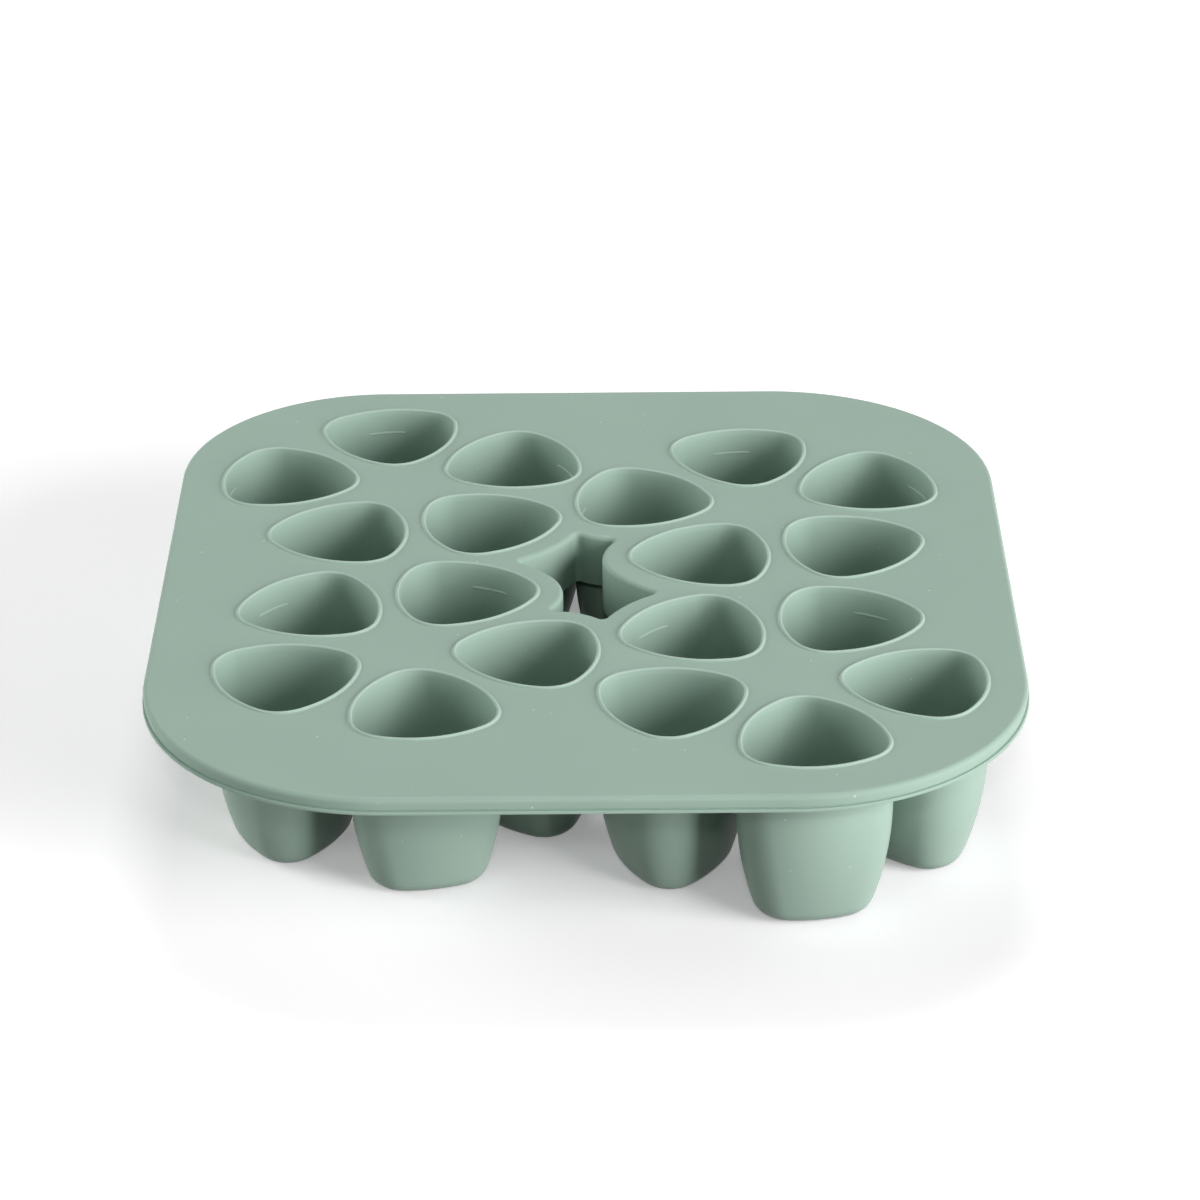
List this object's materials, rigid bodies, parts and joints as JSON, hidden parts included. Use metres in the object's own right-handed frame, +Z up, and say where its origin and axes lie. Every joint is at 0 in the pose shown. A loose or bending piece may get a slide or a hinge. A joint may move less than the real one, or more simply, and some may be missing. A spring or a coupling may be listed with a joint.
{
  "type": "baby food freezer tray",
  "caption": "Soft moulded freezer tray for portions of baby food: a flat deck with a thick rounded rim, deep rounded-triangle cups set in rings and a star-shaped hole in the middle.",
  "frame": {"origin": "middle of the tray's footprint, on the plane that the feet of the cups stand on", "axes": "+Z up out of the cups' mouths, +Y along the tray, +X across it"},
  "size_m": [0.182, 0.1942, 0.0388],
  "materials": {
    "silicone": "matte moulded silicone"
  },
  "bodies": {
    "root": {"deck_plate": "silicone", "rim": "silicone", "star_hole_skirt": "silicone", "fill_marks": "silicone", "cup_01": "silicone", "cup_02": "silicone", "cup_03": "silicone", "cup_04": "silicone", "cup_05": "silicone", "cup_06": "silicone", "cup_07": "silicone", "cup_08": "silicone", "cup_09": "silicone", "cup_10": "silicone", "cup_11": "silicone", "cup_12": "silicone", "cup_13": "silicone", "cup_14": "silicone", "cup_15": "silicone", "cup_16": "silicone", "cup_17": "silicone", "cup_18": "silicone", "cup_19": "silicone", "cup_20": "silicone"}
  },
  "joints": []
}
